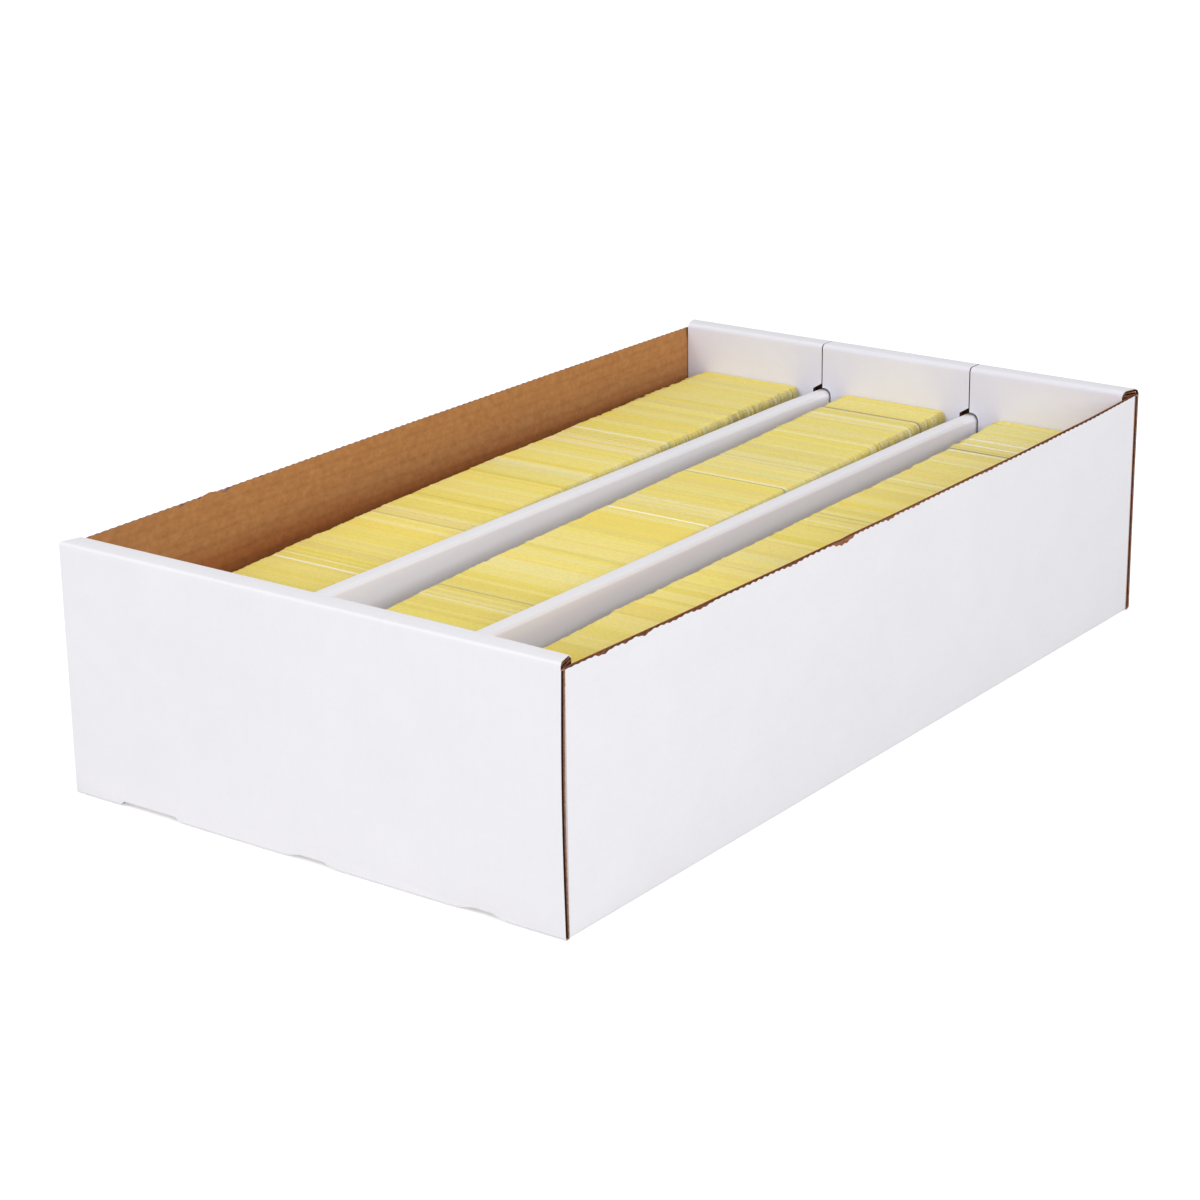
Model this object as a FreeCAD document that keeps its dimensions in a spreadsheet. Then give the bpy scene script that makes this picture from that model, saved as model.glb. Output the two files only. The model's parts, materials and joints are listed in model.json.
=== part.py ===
import FreeCAD, Part
import math
import os
import Sketcher

# Three-row card storage tray of corrugated board: a folded tray with rolled ends,
# a pleated partition that makes two dividers, and three rows of loose cards.
# Origin at the middle of the underside, +X to the right along the near end,
# +Y towards the far end, +Z up. Lengths are in millimetres, angles in degrees.

SIZES = (
    ("box_length", 502, "outside length, along the rows"),
    ("box_height", 121, "height of the rolled ends"),
    ("board", 3, "thickness of the corrugated board"),
    ("crease_radius", 2, "outside radius of a folded corner"),
    ("end_gap", 6, "space between the outer panel and the flaps of an end"),
    ("roll_inner_radius", 0.5, "inside radius of the rolled top of an end"),
    ("slit", 1, "slit between two neighbouring flaps"),
    ("flap_clearance", 0.5, "room between a flap and the long wall beside it"),
    ("notch_clearance", 1, "room round a divider where it passes the flaps"),
    ("tab_width", 38, "width of the locking tab under a flap"),
    ("tab_lift", 0.3, "height of a tab's end above the underside"),
    ("tab_clearance", 0.7, "room round a tab in its slot"),
    ("corner_flap_length", 70, "length of a corner flap"),
    ("corner_flap_taper", 4, "slope of a corner flap's long edges"),
    ("divider_gap", 3.4, "space between the two walls of a divider"),
    ("divider_drop", 22.6, "how far a divider's top lies below the long walls' tops"),
    ("strip_clearance", 0.5, "room round the partition's floor strips"),
    ("card_width", 63.5, "width of a card"),
    ("middle_row_room", 20.1, "room beside the cards in the middle row, both sides together"),
    ("side_row_room", 22.3, "room beside the cards in each outer row, both sides together"),
    ("card_height", 88.9, "height of a card"),
    ("card_corner", 3, "corner radius of a card"),
    ("pack_gap", 0.4, "gap between two neighbouring packs of cards"),
    ("row_slack", 8, "free space at the near end of a row"),
    ("near_lean", 26, "lean of the nearest pack, in degrees"),
    ("overrun", 1, "how far a cut runs past the board"),
)

# Share of a divider's gap that its rounded top takes on each side.
CROWN_SHARE = 0.1

# Packs of one row from the near end to the far end: their shares of the row's length,
# and where the row's line of cards lies at each pack's ends, as shares of the side room.
PACK_LENGTH_SHARES = {
    "left": (0.144, 0.167, 0.165, 0.188, 0.167, 0.169),
    "middle": (0.115, 0.180, 0.172, 0.167, 0.187, 0.179),
    "right": (0.179, 0.172, 0.160, 0.183, 0.172, 0.134),
}
PACK_DRIFT_SHARES = {
    "left": (0.70, 0.68, 0.62, 0.59, 0.53, 0.26, 0.02),
    "middle": (0.78, 0.78, 0.78, 0.78, 0.71, 0.40, -0.01),
    "right": (0.15, 0.25, 0.47, 0.58, 0.64, 0.48, 0.10),
}
ROW_SIDES = {"left": -1, "middle": 0, "right": 1}
END_SIDES = {"near": -1, "far": 1}

# Sizes that several pieces share, written as formulas of the sheet's values.
DIVIDER_HALF = "(sizes.divider_gap / 2 + sizes.board)"
DIVIDER_X = f"((sizes.card_width + sizes.middle_row_room) / 2 + {DIVIDER_HALF})"
INNER_X = f"({DIVIDER_X} + {DIVIDER_HALF} + sizes.card_width + sizes.side_row_room)"
SIDE_ROW_X = f"(({INNER_X} + {DIVIDER_X} + {DIVIDER_HALF}) / 2)"
HALF_WIDTH = f"({INNER_X} + sizes.board)"
HALF_LENGTH = "sizes.box_length / 2"
INNER_Y = "(sizes.box_length / 2 - sizes.board)"
END_DEPTH = "(2 * sizes.board + sizes.end_gap)"
FLAP_Y = "(sizes.box_length / 2 - 2 * sizes.board - sizes.end_gap)"
WALL_TOP = "(sizes.box_height - sizes.board)"
ROLL_RADIUS = "(sizes.roll_inner_radius + sizes.board)"
ROLL_BASE = "(sizes.box_height - sizes.roll_inner_radius - sizes.board)"
DIVIDER_TOP = "(sizes.box_height - sizes.board - sizes.divider_drop)"
SLOT_HALF = "(sizes.tab_width / 2 + sizes.tab_clearance)"
CARD_FOOT = "2 * sizes.board"

doc = FreeCAD.newDocument("card_storage_tray")
sheet = doc.addObject("Spreadsheet::Sheet", "sizes")
for line, (alias, value, meaning) in enumerate(SIZES, start=1):
    sheet.set(f"A{line}", meaning)
    sheet.set(f"B{line}", str(value))
    sheet.setAlias(f"B{line}", alias)
doc.recompute()

pieces = []
cuts = []


def new_piece(name):
    body = doc.addObject("PartDesign::Body", name)
    body.Label = name
    pieces.append(body)
    return body


def origin_plane(body, role):
    for feature in body.Origin.OriginFeatures:
        if feature.Role == role:
            return feature
    raise ValueError(f"{body.Label} has no {role}")


def new_sketch(body, role, name, offset="0"):
    """Empty sketch on one of the piece's own planes, moved along that plane's normal."""
    sketch = body.newObject("Sketcher::SketchObject", f"{body.Label}_{name}")
    sketch.AttachmentSupport = [(origin_plane(body, role), "")]
    sketch.MapMode = "FlatFace"
    sketch.setExpression("AttachmentOffset.Base.z", offset)
    return sketch


def arc_between(start, end, radius, turn):
    """Arc from start to end, to the left for a turn of 1 and to the right for -1."""
    chord = end - start
    half = chord.Length / 2
    left = FreeCAD.Vector(-chord.y, chord.x, 0).normalize()
    reach = math.sqrt(max(radius**2 - half**2, 0))
    centre = (start + end) / 2 + left * turn * reach
    first, last = (start, end) if turn > 0 else (end, start)
    angles = [math.atan2(point.y - centre.y, point.x - centre.x) for point in (first, last)]
    circle = Part.Circle(centre, FreeCAD.Vector(0, 0, 1), radius)
    return Part.ArcOfCircle(circle, *angles)


def draw_outline(sketch, corners):
    """Closed outline through corners, each a pair of formulas.

    A corner with two more entries, a radius formula and a turn, is reached by an arc.
    """
    points = [FreeCAD.Vector(*(float(sketch.evalExpression(f)) for f in corner[:2])) for corner in corners]
    edges = []
    for index, start in enumerate(points):
        following = (index + 1) % len(points)
        if len(corners[following]) == 2:
            geometry = sketch.addGeometry(Part.LineSegment(start, points[following]))
            edges.append((geometry, 1, 2))
            continue
        radius, turn = corners[following][2:]
        arc = arc_between(start, points[following], float(sketch.evalExpression(radius)), turn)
        geometry = sketch.addGeometry(arc)
        edges.append((geometry, 1, 2) if turn > 0 else (geometry, 2, 1))
        fixed = sketch.addConstraint(Sketcher.Constraint("Radius", geometry, arc.Radius))
        sketch.setExpression(f"Constraints[{fixed}]", radius)
    for index, (geometry, start, _) in enumerate(edges):
        before, _, end = edges[index - 1]
        sketch.addConstraint(Sketcher.Constraint("Coincident", before, end, geometry, start))
        for kind, formula, value in zip(("DistanceX", "DistanceY"), corners[index], points[index]):
            fixed = sketch.addConstraint(Sketcher.Constraint(kind, -1, 1, geometry, start, value))
            sketch.setExpression(f"Constraints[{fixed}]", formula)


def rectangle(low_x, low_y, high_x, high_y):
    return ((low_x, low_y), (high_x, low_y), (high_x, high_y), (low_x, high_y))


def pad(body, sketch, length, both_ways=False):
    feature = body.newObject("PartDesign::Pad", f"{body.Label}_pad")
    feature.Profile = sketch
    feature.SideType = "Symmetric" if both_ways else "One side"
    feature.setExpression("Length", length)
    return feature


def cut_through(body, name, outlines, role="XZ_Plane"):
    """Cut outlines right through the piece, both ways from its own plane."""
    sketch = new_sketch(body, role, f"{name}_outline")
    for corners in outlines:
        draw_outline(sketch, corners)
    feature = body.newObject("PartDesign::Pocket", f"{body.Label}_{name}")
    feature.Profile = sketch
    feature.Type = "ThroughAll"
    feature.SideType = "Symmetric"
    cuts.append(feature)
    return feature


def round_edges(body, base, radius, test):
    """Round those edges of a finished feature that the test picks."""
    doc.recompute()
    names = []
    for number, edge in enumerate(base.Shape.Edges, start=1):
        if test(edge):
            names.append(f"Edge{number}")
    feature = body.newObject("PartDesign::Fillet", f"{body.Label}_rounding")
    feature.Base = (base, names)
    feature.setExpression("Radius", radius)
    return feature


def make_floor():
    """Floor of the tray, with slots at both ends for the flaps' locking tabs."""
    body = new_piece("floor_panel")
    sketch = new_sketch(body, "XY_Plane", "outline")
    draw_outline(sketch, rectangle(f"-{INNER_X}", f"-{INNER_Y}", INNER_X, INNER_Y))
    pad(body, sketch, "sizes.board")
    slots = []
    for end in END_SIDES.values():
        for row in ROW_SIDES.values():
            middle = f"{row} * {SIDE_ROW_X}"
            inside = f"{end} * ({FLAP_Y} - sizes.tab_clearance)"
            outside = f"{end} * ({INNER_Y} + sizes.overrun)"
            slots.append(rectangle(f"{middle} - {SLOT_HALF}", inside, f"{middle} + {SLOT_HALF}", outside))
    cut_through(body, "tab_slots", slots, "XY_Plane")


def make_long_wall(name, side):
    """Long wall: single board with a raw top edge, folded up from the floor."""
    body = new_piece(f"{name}_wall")
    sketch = new_sketch(body, "XZ_Plane", "outline")
    outer = f"{side} * {HALF_WIDTH}"
    inner = f"{side} * {INNER_X}"
    under = f"{side} * ({HALF_WIDTH} - sizes.crease_radius)"
    draw_outline(sketch, (
        (inner, "0"),
        (under, "0"),
        (outer, "sizes.crease_radius", "sizes.crease_radius", side),
        (outer, WALL_TOP),
        (inner, WALL_TOP),
    ))
    wall = pad(body, sketch, f"2 * {INNER_Y}", both_ways=True)
    outer_x = float(sketch.evalExpression(outer))

    def outer_corner(edge):
        upright = edge.BoundBox.ZLength > sheet.box_height / 2
        return upright and abs(edge.CenterOfMass.x - outer_x) < sheet.board / 2

    round_edges(body, wall, "sizes.crease_radius", outer_corner)


def make_corner_flap(end_name, end, side_name, side):
    """Flap at the end of a long wall, folded in behind the end panel."""
    body = new_piece(f"{end_name}_{side_name}_corner_flap")
    back = f"{INNER_Y} - sizes.board" if end < 0 else f"-{INNER_Y}"
    sketch = new_sketch(body, "XZ_Plane", "outline", back)
    root = f"{side} * {INNER_X}"
    tip = f"{side} * ({INNER_X} - sizes.corner_flap_length)"
    top = f"({WALL_TOP} - sizes.flap_clearance)"
    draw_outline(sketch, (
        (tip, "sizes.board + sizes.corner_flap_taper"),
        (root, "sizes.board"),
        (root, top),
        (tip, f"{top} - sizes.corner_flap_taper"),
    ))
    pad(body, sketch, "sizes.board")


def make_end_panel(name, end):
    """Outer panel of an end, folded up from the floor, with the tab slots' shallow mouths."""
    body = new_piece(f"{name}_end_panel")
    sketch = new_sketch(body, "YZ_Plane", "outline")
    outer = f"{end} * {HALF_LENGTH}"
    inner = f"{end} * {INNER_Y}"
    under = f"{end} * ({HALF_LENGTH} - sizes.crease_radius)"
    draw_outline(sketch, (
        (inner, "0"),
        (under, "0"),
        (outer, "sizes.crease_radius", "sizes.crease_radius", end),
        (outer, ROLL_BASE),
        (inner, ROLL_BASE),
    ))
    pad(body, sketch, f"2 * {HALF_WIDTH}", both_ways=True)
    mouths = []
    for row in ROW_SIDES.values():
        middle = f"{row} * {SIDE_ROW_X}"
        mouths.append(rectangle(
            f"{middle} - {SLOT_HALF}", "-sizes.overrun", f"{middle} + {SLOT_HALF}", "sizes.board"))
    cut_through(body, "slot_mouths", mouths)


def flap_profile(end):
    """Section of a rolled flap: over the top of the end panel and down inside to the floor."""
    def across(distance):
        return f"{end} * ({HALF_LENGTH} - ({distance}))"

    foot = "sizes.tab_lift"
    inside = "sizes.roll_inner_radius"
    return (
        (across("sizes.board"), ROLL_BASE, inside, -end),
        (across("0"), ROLL_BASE),
        (across(ROLL_RADIUS), "sizes.box_height", ROLL_RADIUS, end),
        (across(f"{END_DEPTH} - {ROLL_RADIUS}"), "sizes.box_height"),
        (across(END_DEPTH), ROLL_BASE, ROLL_RADIUS, end),
        (across(END_DEPTH), foot),
        (across(f"{END_DEPTH} - sizes.board"), foot),
        (across(f"{END_DEPTH} - sizes.board"), ROLL_BASE),
        (across(f"{END_DEPTH} - {ROLL_RADIUS}"), WALL_TOP, inside, -end),
        (across(ROLL_RADIUS), WALL_TOP),
    )


def make_flap(end_name, end, row_name, row):
    """One of an end's three flaps: rolled over the top and locked in the floor by its tab."""
    body = new_piece(f"{end_name}_{row_name}_flap")
    slit_edge = f"({DIVIDER_X} - sizes.slit / 2)"
    outer_slit_edge = f"({DIVIDER_X} + sizes.slit / 2)"
    low, high = {
        -1: (f"-{HALF_WIDTH}", f"-{outer_slit_edge}"),
        0: (f"-{slit_edge}", slit_edge),
        1: (outer_slit_edge, HALF_WIDTH),
    }[row]
    sketch = new_sketch(body, "YZ_Plane", "profile", low)
    draw_outline(sketch, flap_profile(end))
    pad(body, sketch, f"{high} - ({low})")

    notch_half = f"({DIVIDER_HALF} + sizes.notch_clearance)"
    notch_top = f"{DIVIDER_TOP} + sizes.notch_clearance"
    notches = []
    for divider in (-1, 1):
        if divider == -row:
            continue
        middle = f"{divider} * {DIVIDER_X}"
        notches.append(rectangle(
            f"{middle} - {notch_half}", "-sizes.overrun", f"{middle} + {notch_half}", notch_top))
    cut_through(body, "divider_notches", notches)

    if row:
        beside = f"{row} * ({INNER_X} - sizes.flap_clearance)"
        beyond = f"{row} * ({HALF_WIDTH} + sizes.overrun)"
        cut_through(body, "wall_relief", [rectangle(beside, "-sizes.overrun", beyond, WALL_TOP)])

    tab_low = f"{row} * {SIDE_ROW_X} - sizes.tab_width / 2"
    tab_high = f"{row} * {SIDE_ROW_X} + sizes.tab_width / 2"
    cut_through(body, "tab_shoulders", [
        rectangle(f"{low} - sizes.overrun", "-sizes.overrun", tab_low, "sizes.board"),
        rectangle(tab_high, "-sizes.overrun", f"{high} + sizes.overrun", "sizes.board"),
    ])


def make_row_floor(name, side):
    """Strip of the partition that lies on the tray's floor, under one row of cards."""
    body = new_piece(f"{name}_row_floor")
    sketch = new_sketch(body, "XY_Plane", "outline", "sizes.board")
    if side:
        near_divider = f"{side} * ({DIVIDER_X} + {DIVIDER_HALF})"
        near_wall = f"{side} * ({INNER_X} - sizes.strip_clearance)"
        low, high = (near_wall, near_divider) if side < 0 else (near_divider, near_wall)
    else:
        high = f"({DIVIDER_X} - {DIVIDER_HALF})"
        low = f"-{high}"
    end = f"({FLAP_Y} - sizes.strip_clearance)"
    draw_outline(sketch, rectangle(low, f"-{end}", high, end))
    pad(body, sketch, "sizes.board")


def make_divider(name, side):
    """Pleat of the partition: two walls with a rounded top, standing on the floor."""
    body = new_piece(f"{name}_divider")
    sketch = new_sketch(body, "XZ_Plane", "profile")
    inside = f"(sizes.divider_gap * {CROWN_SHARE})"
    outside = f"({inside} + sizes.board)"
    shoulder = f"{DIVIDER_TOP} - {outside}"
    roof = f"{DIVIDER_TOP} - sizes.board"

    def at(distance):
        return f"{side} * {DIVIDER_X} + {distance}"

    draw_outline(sketch, (
        (at(f"-{DIVIDER_HALF}"), "sizes.board"),
        (at(f"-{DIVIDER_HALF}"), shoulder),
        (at(f"{outside} - {DIVIDER_HALF}"), DIVIDER_TOP, outside, -1),
        (at(f"{DIVIDER_HALF} - {outside}"), DIVIDER_TOP),
        (at(DIVIDER_HALF), shoulder, outside, -1),
        (at(DIVIDER_HALF), "sizes.board"),
        (at("sizes.divider_gap / 2"), "sizes.board"),
        (at("sizes.divider_gap / 2"), shoulder),
        (at(f"sizes.divider_gap / 2 - {inside}"), roof, inside, 1),
        (at(f"{inside} - sizes.divider_gap / 2"), roof),
        (at("-sizes.divider_gap / 2"), shoulder, inside, 1),
        (at("-sizes.divider_gap / 2"), "sizes.board"),
    ))
    pad(body, sketch, f"2 * ({INNER_Y} - sizes.board)", both_ways=True)


def card_outline():
    """Face of one card, standing on its lower edge, with rounded corners."""
    half = "sizes.card_width / 2"
    straight = "(sizes.card_width / 2 - sizes.card_corner)"
    corner = "sizes.card_corner"
    shoulder = "sizes.card_height - sizes.card_corner"
    return (
        (f"-{straight}", "0", corner, 1),
        (straight, "0"),
        (half, corner, corner, 1),
        (half, shoulder),
        (straight, "sizes.card_height", corner, 1),
        (f"-{straight}", "sizes.card_height"),
        (f"-{half}", shoulder, corner, 1),
        (f"-{half}", corner),
    )


def lean_of(place, packs):
    """Lean of a pack, counted from the far end: upright there and most at the near end."""
    return f"(sizes.near_lean * {place} / {packs - 1})"


def foot_step(place, packs):
    """Room at the floor between two packs that lean differently and meet at the top."""
    lean = lean_of(place, packs)
    steeper = lean_of(place + 1, packs)
    return f"(sizes.card_height * cos({lean}) * (tan({steeper}) - tan({lean})) + sizes.pack_gap)"


def make_row_of_packs(name, side):
    """Packs of one row, laid from the far end, where the cards stand upright."""
    length_shares = PACK_LENGTH_SHARES[name]
    drift_shares = PACK_DRIFT_SHARES[name]
    packs = len(length_shares)
    steps = [foot_step(place, packs) for place in range(packs - 1)]
    run = f"(2 * {FLAP_Y} - sizes.pack_gap - sizes.row_slack - ({' + '.join(steps)}))"
    room = "sizes.side_row_room / 2" if side else "sizes.middle_row_room / 2"
    row_middle = f"{side} * {SIDE_ROW_X}"

    for place in range(packs):
        number = packs - place
        share = length_shares[number - 1] / sum(length_shares)
        passed_share = sum(length_shares[number:]) / sum(length_shares)
        foot = " - ".join([FLAP_Y, "sizes.pack_gap", f"{run} * {passed_share}"] + steps[:place])
        far_drift = drift_shares[number]
        near_drift = drift_shares[number - 1]
        body = new_piece(f"{name}_row_pack_{number}")
        body.setExpression("Placement.Base.x", f"{row_middle} + {far_drift} * {room}")
        body.setExpression("Placement.Base.y", foot)
        body.setExpression("Placement.Base.z", CARD_FOOT)
        sketch = new_sketch(body, "XZ_Plane", "far_card")
        sketch.AttachmentOffset = FreeCAD.Placement(
            FreeCAD.Vector(), FreeCAD.Rotation(FreeCAD.Vector(1, 0, 0), -sheet.near_lean))
        sketch.setExpression("AttachmentOffset.Rotation.Angle", f"-{lean_of(place, packs)}")
        draw_outline(sketch, card_outline())
        depth = f"{run} * {share}"
        aside = f"({near_drift - far_drift} * {room})"
        stack = pad(body, sketch, f"sqrt({aside} ^ 2 + ({depth}) ^ 2)")
        stack.UseCustomVector = True
        stack.AlongSketchNormal = False
        stack.setExpression("Direction.x", aside)
        stack.setExpression("Direction.y", f"-{depth}")
        stack.setExpression("Direction.z", "0")


make_floor()
for side_name, side in (("left", -1), ("right", 1)):
    make_long_wall(side_name, side)
    make_divider(side_name, side)
    for end_name, end in END_SIDES.items():
        make_corner_flap(end_name, end, side_name, side)
for end_name, end in END_SIDES.items():
    make_end_panel(end_name, end)
    for row_name, row in ROW_SIDES.items():
        make_flap(end_name, end, row_name, row)
for row_name, row in ROW_SIDES.items():
    make_row_floor(row_name, row)
    make_row_of_packs(row_name, row)
doc.recompute()

for item in doc.Objects:
    if "Invalid" in item.State or "Error" in item.State:
        raise RuntimeError(f"{item.Name} failed: {item.State}")
for cut in cuts:
    if cut.Shape.Volume >= cut.BaseFeature.Shape.Volume:
        raise RuntimeError(f"{cut.Name} cut nothing")
for piece in pieces:
    if piece.Shape.isNull() or not piece.Shape.isValid() or len(piece.Shape.Solids) != 1:
        raise RuntimeError(f"{piece.Label} is not one valid solid")

os.makedirs("parts", exist_ok=True)
for piece in pieces:
    piece.Shape.exportStep(f"parts/{piece.Label}.step")
    box = piece.Shape.BoundBox
    print(f"{piece.Label}: {box.XLength:.1f} x {box.YLength:.1f} x {box.ZLength:.1f} mm")
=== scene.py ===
# %% [markdown]
# # An open card tray of corrugated board, dressed in Blender
# The tray is folded from one sheet of white-lined board, a second pleated sheet divides it into
# three rows, and loose cards stand on edge in the rows. The CAD model gives every piece its place
# and size. Here each piece gets the look of folded paper: soft creases, raw cut edges that show
# the layers of the board, and cards that can be told apart. The frame is loaded first, so that
# every later measure can be read from it.

# %% Load the frame
import json
import math

import bmesh
import bpy
import numpy as np
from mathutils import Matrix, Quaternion, Vector


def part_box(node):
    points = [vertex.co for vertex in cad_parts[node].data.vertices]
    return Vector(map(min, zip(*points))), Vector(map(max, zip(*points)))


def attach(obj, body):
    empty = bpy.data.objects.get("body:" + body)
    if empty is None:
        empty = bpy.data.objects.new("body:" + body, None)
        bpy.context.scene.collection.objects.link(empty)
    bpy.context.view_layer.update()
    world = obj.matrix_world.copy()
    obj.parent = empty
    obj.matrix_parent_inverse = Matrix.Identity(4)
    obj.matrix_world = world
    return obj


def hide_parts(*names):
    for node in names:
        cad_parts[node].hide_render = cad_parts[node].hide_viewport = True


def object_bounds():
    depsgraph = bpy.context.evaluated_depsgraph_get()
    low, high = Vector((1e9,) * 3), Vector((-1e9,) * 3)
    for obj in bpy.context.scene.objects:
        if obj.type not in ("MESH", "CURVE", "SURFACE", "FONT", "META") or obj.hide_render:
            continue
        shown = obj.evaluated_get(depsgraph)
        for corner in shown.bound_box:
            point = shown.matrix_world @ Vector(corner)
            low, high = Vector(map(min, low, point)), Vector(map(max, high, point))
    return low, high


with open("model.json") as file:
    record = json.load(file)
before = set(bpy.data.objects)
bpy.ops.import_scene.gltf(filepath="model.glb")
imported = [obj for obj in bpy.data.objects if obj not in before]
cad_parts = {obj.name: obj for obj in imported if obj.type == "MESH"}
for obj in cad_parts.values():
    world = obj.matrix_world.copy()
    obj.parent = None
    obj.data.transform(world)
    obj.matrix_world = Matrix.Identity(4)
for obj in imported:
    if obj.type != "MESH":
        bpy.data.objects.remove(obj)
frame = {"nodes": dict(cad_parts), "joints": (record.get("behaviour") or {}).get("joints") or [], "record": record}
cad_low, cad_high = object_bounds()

MM = 0.001
X, Y, Z = 0, 1, 2
scene = bpy.context.scene
scene.view_settings.view_transform = "Standard"
body_of = {node: body for body, nodes in frame["record"]["behaviour"]["bodies"].items() for node in nodes}

# %% [markdown]
# ## The camera
# A long lens from in front and to the right, a little above the rim, keeps the long edges almost
# parallel. Its place was worked out from the tray's corners in the photograph. A camera can be
# turned by Euler angles, but aiming it at a point and then rolling it says plainly what is meant.

# %% Aim the camera
CAMERA_PLACE = Vector((824.3, -1153.0, 535.2)) * MM
CAMERA_AIM = Vector((-25.1, 0.0, 44.1)) * MM
CAMERA_ROLL = math.radians(-0.762)
CAMERA_LENS, SENSOR_WIDTH = 91.55, 36  # in mm

camera = bpy.data.objects.new("camera", bpy.data.cameras.new("camera"))
camera.data.lens = CAMERA_LENS
camera.data.sensor_width = SENSOR_WIDTH
camera.location = CAMERA_PLACE
camera.rotation_mode = "QUATERNION"
level = (CAMERA_AIM - CAMERA_PLACE).to_track_quat("-Z", "Y")
camera.rotation_quaternion = level @ Quaternion((0, 0, 1), CAMERA_ROLL)
scene.collection.objects.link(camera)
scene.camera = camera
print("camera looks from", tuple(camera.location))

# %% [markdown]
# ## Node helpers
# Every finish below is a small graph of shader nodes. A few helpers keep the graphs short: they add
# a node and feed its inputs, mix two colours, make noise, turn a value into a colour or into
# relief. Colours are written as a screen shows them, from 0 to 255, and turned into the linear
# values that a renderer works with.


# %% Helpers for shader nodes
def feed(tree, socket, value):
    """Gives a socket a fixed value, or links another node's output to it."""
    if isinstance(value, bpy.types.NodeSocket):
        tree.links.new(value, socket)
    else:
        socket.default_value = value


def add_node(tree, kind, settings=None, values=None):
    """Adds a shader node with its settings and what its inputs are fed."""
    node = tree.nodes.new(kind)
    for name, value in (settings or {}).items():
        setattr(node, name, value)
    for name, value in (values or {}).items():
        feed(tree, node.inputs[name], value)
    return node


def screen_colour(red, green, blue):
    """The linear colour of a screen colour."""
    shares = [value / 255 for value in (red, green, blue)]
    return (*[s / 12.92 if s <= 0.04045 else ((s + 0.055) / 1.055) ** 2.4 for s in shares], 1.0)


def mix_colours(tree, factor, first, second, blend="MIX"):
    """Mixes two colours, each a fixed colour or another node's output, and returns the result."""
    mix = add_node(tree, "ShaderNodeMix", {"data_type": "RGBA", "blend_type": blend},
                   {0: factor, 6: first, 7: second})
    return mix.outputs[2]


def multiply_add(tree, value, factor, added, clamp=False):
    """A value times a factor, with something added."""
    sum_node = add_node(tree, "ShaderNodeMath", {"operation": "MULTIPLY_ADD", "use_clamp": clamp},
                        {0: value, 1: factor, 2: added})
    return sum_node.outputs[0]


def add_noise(tree, place, scale, detail, roughness):
    """Noise between 0 and 1, with that many grains in a metre."""
    noise = add_node(tree, "ShaderNodeTexNoise", values={
        "Vector": place, "Scale": scale, "Detail": detail, "Roughness": roughness})
    return noise.outputs["Fac"]


def ramp_colour(tree, value, *stops):
    """Turns a value into a colour between two stops, each given as (value, colour)."""
    ramp = add_node(tree, "ShaderNodeValToRGB", values={0: value})
    for element, (position, colour) in zip(ramp.color_ramp.elements, stops):
        element.position = position
        element.color = colour
    return ramp.outputs[0]


def emboss(tree, shader, height, strength, depth):
    """Lets a height between 0 and 1 show as relief of that depth."""
    bump = add_node(tree, "ShaderNodeBump", values={
        "Height": height, "Strength": strength, "Distance": depth})
    feed(tree, shader.inputs["Normal"], bump.outputs[0])


def seen_by_eye(tree):
    """1 for a ray from the camera, also by way of a gloss or glass, and 0 for other rays."""
    path = add_node(tree, "ShaderNodeLightPath")
    signal = path.outputs["Is Camera Ray"]
    for name in ("Is Glossy Ray", "Is Transmission Ray"):
        either = add_node(tree, "ShaderNodeMath", {"operation": "MAXIMUM"},
                          {0: signal, 1: path.outputs[name]})
        signal = either.outputs[0]
    return signal


def split_by_eye(tree, for_light, for_eye, output):
    """Lets the eye see one shader and the light of the scene come from another."""
    choice = add_node(tree, "ShaderNodeMixShader", values={
        0: seen_by_eye(tree), 1: for_light.outputs[0], 2: for_eye.outputs[0]})
    add_node(tree, output, values={0: choice.outputs[0]})


print("a mid grey is", screen_colour(128, 128, 128)[0])

# %% [markdown]
# ## A white studio
# The tray stands on a white table in an even, soft light. The background is white to the eye
# only: the light path splits what the camera sees from what lights the tray, so the walls keep
# their own greys. The floor is lifted part of the way to white and still takes the tray's shadow.
# Two large soft boxes, in front on the left and off to the right, tell the end from the wall.

# %% Air and floor
AIR_LIGHT = 0.57
AIR_COLOUR = (0.97, 0.985, 1.0, 1.0)
FLOOR_GLOW = 0.45
FLOOR_SIZE = 8
FLOOR_DROP = 0.5 * MM  # leaves a soft line of shadow under the tray's edges
WHITE = (1.0, 1.0, 1.0, 1.0)
TABLE_TONE = screen_colour(225, 225, 225)

scene.world = bpy.data.worlds.new("studio_air")
scene.world.use_nodes = True
air = scene.world.node_tree
air.nodes.clear()
backdrop = add_node(air, "ShaderNodeBackground", values={"Color": WHITE, "Strength": 1.0})
glow = add_node(air, "ShaderNodeBackground", values={"Color": AIR_COLOUR, "Strength": AIR_LIGHT})
split_by_eye(air, glow, backdrop, "ShaderNodeOutputWorld")

bpy.ops.object.select_all(action="DESELECT")
bpy.ops.mesh.primitive_plane_add(size=FLOOR_SIZE, location=(0, 0, -FLOOR_DROP))
floor = bpy.context.object
floor.name = "studio_floor"

table_top = bpy.data.materials.new("white_table")
table_top.use_nodes = True
tree = table_top.node_tree
tree.nodes.clear()
matt = add_node(tree, "ShaderNodeBsdfDiffuse", values={"Color": TABLE_TONE})
shaded = add_node(tree, "ShaderNodeBsdfDiffuse", values={"Color": WHITE})
lift = add_node(tree, "ShaderNodeEmission", values={"Color": WHITE, "Strength": FLOOR_GLOW})
lifted = add_node(tree, "ShaderNodeAddShader", values={0: shaded.outputs[0], 1: lift.outputs[0]})
split_by_eye(tree, matt, lifted, "ShaderNodeOutputMaterial")
floor.data.materials.append(table_top)
print("air light", AIR_LIGHT, "floor", floor.name)

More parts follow.
